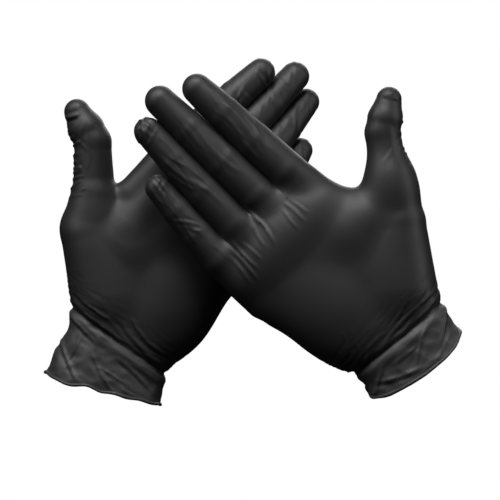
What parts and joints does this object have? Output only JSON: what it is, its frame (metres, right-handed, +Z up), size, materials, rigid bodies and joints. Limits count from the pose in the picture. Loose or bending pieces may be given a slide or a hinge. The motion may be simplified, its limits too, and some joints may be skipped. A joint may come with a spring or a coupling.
{
  "type": "pair of disposable gloves",
  "caption": "Pair of black disposable film gloves in their worn shape, hands raised and fingers crossing, palms forward, with crumpled rolled-edge cuffs. Fingers, thumbs and wrists bend.",
  "frame": {"origin": "middle of the left glove's cuff mouth", "axes": "+Z up along the raised hands, +X from the left glove to the right one, both palms face -Y"},
  "size_m": [0.2417, 0.0925, 0.2049],
  "materials": {
    "film": "satin black film",
    "cuff_film": "satin black film, a little greyer where it is crumpled"
  },
  "bodies": {
    "left_cuff": {"left_cuff": "cuff_film", "left_cuff_bead": "cuff_film"},
    "left_palm": {"left_palm": "film"},
    "left_thumb_base": {"left_thumb_base": "film"},
    "left_thumb_tip": {"left_thumb_tip": "film"},
    "left_index_base": {"left_index_base": "film"},
    "left_index_middle": {"left_index_middle": "film"},
    "left_index_tip": {"left_index_tip": "film"},
    "left_middle_base": {"left_middle_base": "film"},
    "left_middle_middle": {"left_middle_middle": "film"},
    "left_middle_tip": {"left_middle_tip": "film"},
    "left_ring_base": {"left_ring_base": "film"},
    "left_ring_middle": {"left_ring_middle": "film"},
    "left_ring_tip": {"left_ring_tip": "film"},
    "left_little_base": {"left_little_base": "film"},
    "left_little_middle": {"left_little_middle": "film"},
    "left_little_tip": {"left_little_tip": "film"},
    "right_cuff": {"right_cuff": "cuff_film", "right_cuff_bead": "cuff_film"},
    "right_palm": {"right_palm": "film"},
    "right_thumb_base": {"right_thumb_base": "film"},
    "right_thumb_tip": {"right_thumb_tip": "film"},
    "right_index_base": {"right_index_base": "film"},
    "right_index_middle": {"right_index_middle": "film"},
    "right_index_tip": {"right_index_tip": "film"},
    "right_middle_base": {"right_middle_base": "film"},
    "right_middle_middle": {"right_middle_middle": "film"},
    "right_middle_tip": {"right_middle_tip": "film"},
    "right_ring_base": {"right_ring_base": "film"},
    "right_ring_middle": {"right_ring_middle": "film"},
    "right_ring_tip": {"right_ring_tip": "film"},
    "right_little_base": {"right_little_base": "film"},
    "right_little_middle": {"right_little_middle": "film"},
    "right_little_tip": {"right_little_tip": "film"}
  },
  "joints": [
    {"name": "right_glove_lift_off", "type": "slide", "parent": "left_cuff", "child": "right_cuff", "axis": [0, -1, 0], "range_m": [0, 0.12]},
    {"name": "left_wrist_bend", "type": "hinge", "parent": "left_cuff", "child": "left_palm", "pos_m": [0.01101, 0, 0.02728], "axis": [0.8746, 0, -0.4848], "range_deg": [-18, 0]},
    {"name": "left_index_knuckle", "type": "hinge", "parent": "left_palm", "child": "left_index_base", "pos_m": [0.04169, 0, 0.13833], "axis": [0.6845, 0, -0.729], "range_deg": [-5, 3]},
    {"name": "left_index_middle_joint", "type": "hinge", "parent": "left_index_base", "child": "left_index_middle", "pos_m": [0.06, 0.00443, 0.15552], "axis": [0.6845, 0, -0.729], "range_deg": [0, 3]},
    {"name": "left_index_tip_joint", "type": "hinge", "parent": "left_index_middle", "child": "left_index_tip", "pos_m": [0.07687, 0.00851, 0.17136], "axis": [0.6845, 0, -0.729], "range_deg": [0, 2.01]},
    {"name": "left_middle_knuckle", "type": "hinge", "parent": "left_palm", "child": "left_middle_base", "pos_m": [0.06278, 0, 0.12893], "axis": [0.7466, 0, -0.6652], "range_deg": [-5, 3]},
    {"name": "left_middle_middle_joint", "type": "hinge", "parent": "left_middle_base", "child": "left_middle_middle", "pos_m": [0.08018, 0.0085, 0.14846], "axis": [0.7466, 0, -0.6652], "range_deg": [0, 3]},
    {"name": "left_middle_tip_joint", "type": "hinge", "parent": "left_middle_middle", "child": "left_middle_tip", "pos_m": [0.09726, 0.01684, 0.16763], "axis": [0.7466, 0, -0.6652], "range_deg": [0, 2.01]},
    {"name": "left_ring_knuckle", "type": "hinge", "parent": "left_palm", "child": "left_ring_base", "pos_m": [0.07969, 0, 0.11613], "axis": [0.8059, 0, -0.592], "range_deg": [-5, 3]},
    {"name": "left_ring_middle_joint", "type": "hinge", "parent": "left_ring_base", "child": "left_ring_middle", "pos_m": [0.09358, 0.01119, 0.13504], "axis": [0.8059, 0, -0.592], "range_deg": [0, 3]},
    {"name": "left_ring_tip_joint", "type": "hinge", "parent": "left_ring_middle", "child": "left_ring_tip", "pos_m": [0.10721, 0.02217, 0.15359], "axis": [0.8059, 0, -0.592], "range_deg": [0, 2.01]},
    {"name": "left_little_knuckle", "type": "hinge", "parent": "left_palm", "child": "left_little_base", "pos_m": [0.0933, 0, 0.09943], "axis": [0.8796, 0, -0.4756], "range_deg": [-5, 3]},
    {"name": "left_little_middle_joint", "type": "hinge", "parent": "left_little_base", "child": "left_little_middle", "pos_m": [0.10125, 0.01004, 0.11414], "axis": [0.8796, 0, -0.4756], "range_deg": [0, 3]},
    {"name": "left_little_tip_joint", "type": "hinge", "parent": "left_little_middle", "child": "left_little_tip", "pos_m": [0.10859, 0.01931, 0.12771], "axis": [0.8796, 0, -0.4756], "range_deg": [0, 2.01]},
    {"name": "left_thumb_swing", "type": "hinge", "parent": "left_palm", "child": "left_thumb_base", "pos_m": [-0.00532, 0, 0.11374], "axis": [0, 1, 0], "range_deg": [-5, 25]},
    {"name": "left_thumb_joint", "type": "hinge", "parent": "left_thumb_base", "child": "left_thumb_tip", "pos_m": [-0.00596, 0, 0.14416], "axis": [0, 1, 0], "range_deg": [0, 50]},
    {"name": "right_wrist_bend", "type": "hinge", "parent": "right_cuff", "child": "right_palm", "pos_m": [0.1699, -0.0305, 0.0313], "axis": [0.7071, 0, 0.7071], "range_deg": [0, 22]},
    {"name": "right_index_knuckle", "type": "hinge", "parent": "right_palm", "child": "right_index_base", "pos_m": [0.10654, -0.0305, 0.12634], "axis": [0.6743, 0, 0.7385], "range_deg": [0, 65]},
    {"name": "right_index_middle_joint", "type": "hinge", "parent": "right_index_base", "child": "right_index_middle", "pos_m": [0.08809, -0.0305, 0.14319], "axis": [0.6743, 0, 0.7385], "range_deg": [0, 75]},
    {"name": "right_index_tip_joint", "type": "hinge", "parent": "right_index_middle", "child": "right_index_tip", "pos_m": [0.07108, -0.0305, 0.15871], "axis": [0.6743, 0, 0.7385], "range_deg": [0, 50]},
    {"name": "right_middle_knuckle", "type": "hinge", "parent": "right_palm", "child": "right_middle_base", "pos_m": [0.08986, -0.0305, 0.11248], "axis": [0.6959, 0, 0.7181], "range_deg": [0, 65]},
    {"name": "right_middle_middle_joint", "type": "hinge", "parent": "right_middle_base", "child": "right_middle_middle", "pos_m": [0.0705, -0.0305, 0.13123], "axis": [0.6959, 0, 0.7181], "range_deg": [0, 75]},
    {"name": "right_middle_tip_joint", "type": "hinge", "parent": "right_middle_middle", "child": "right_middle_tip", "pos_m": [0.0515, -0.0305, 0.14965], "axis": [0.6959, 0, 0.7181], "range_deg": [0, 50]},
    {"name": "right_ring_knuckle", "type": "hinge", "parent": "right_palm", "child": "right_ring_base", "pos_m": [0.07713, -0.0305, 0.09551], "axis": [0.7314, 0, 0.682], "range_deg": [0, 65]},
    {"name": "right_ring_middle_joint", "type": "hinge", "parent": "right_ring_base", "child": "right_ring_middle", "pos_m": [0.05975, -0.0305, 0.11414], "axis": [0.7314, 0, 0.682], "range_deg": [0, 75]},
    {"name": "right_ring_tip_joint", "type": "hinge", "parent": "right_ring_middle", "child": "right_ring_tip", "pos_m": [0.04271, -0.0305, 0.13242], "axis": [0.7314, 0, 0.682], "range_deg": [0, 50]},
    {"name": "right_little_knuckle", "type": "hinge", "parent": "right_palm", "child": "right_little_base", "pos_m": [0.06885, -0.0305, 0.07592], "axis": [0.7524, 0, 0.6587], "range_deg": [0, 65]},
    {"name": "right_little_middle_joint", "type": "hinge", "parent": "right_little_base", "child": "right_little_middle", "pos_m": [0.05627, -0.0305, 0.0903], "axis": [0.7524, 0, 0.6587], "range_deg": [0, 75]},
    {"name": "right_little_tip_joint", "type": "hinge", "parent": "right_little_middle", "child": "right_little_tip", "pos_m": [0.04465, -0.0305, 0.10357], "axis": [0.7524, 0, 0.6587], "range_deg": [0, 50]},
    {"name": "right_thumb_swing", "type": "hinge", "parent": "right_palm", "child": "right_thumb_base", "pos_m": [0.16764, -0.0305, 0.1187], "axis": [0, -1, 0], "range_deg": [-5, 25]},
    {"name": "right_thumb_joint", "type": "hinge", "parent": "right_thumb_base", "child": "right_thumb_tip", "pos_m": [0.1629, -0.0305, 0.14804], "axis": [0, -1, 0], "range_deg": [0, 50]}
  ],
  "couplings": [
    {"joint": "left_middle_knuckle", "follows": "left_index_knuckle", "ratio": 1},
    {"joint": "left_ring_knuckle", "follows": "left_index_knuckle", "ratio": 1},
    {"joint": "left_little_knuckle", "follows": "left_index_knuckle", "ratio": 1},
    {"joint": "left_middle_middle_joint", "follows": "left_index_middle_joint", "ratio": 1},
    {"joint": "left_ring_middle_joint", "follows": "left_index_middle_joint", "ratio": 1},
    {"joint": "left_little_middle_joint", "follows": "left_index_middle_joint", "ratio": 1},
    {"joint": "left_index_tip_joint", "follows": "left_index_middle_joint", "ratio": 0.67},
    {"joint": "left_middle_tip_joint", "follows": "left_index_middle_joint", "ratio": 0.67},
    {"joint": "left_ring_tip_joint", "follows": "left_index_middle_joint", "ratio": 0.67},
    {"joint": "left_little_tip_joint", "follows": "left_index_middle_joint", "ratio": 0.67},
    {"joint": "right_index_tip_joint", "follows": "right_index_middle_joint", "ratio": 0.66667},
    {"joint": "right_middle_tip_joint", "follows": "right_middle_middle_joint", "ratio": 0.66667},
    {"joint": "right_ring_tip_joint", "follows": "right_ring_middle_joint", "ratio": 0.66667},
    {"joint": "right_little_tip_joint", "follows": "right_little_middle_joint", "ratio": 0.66667}
  ]
}
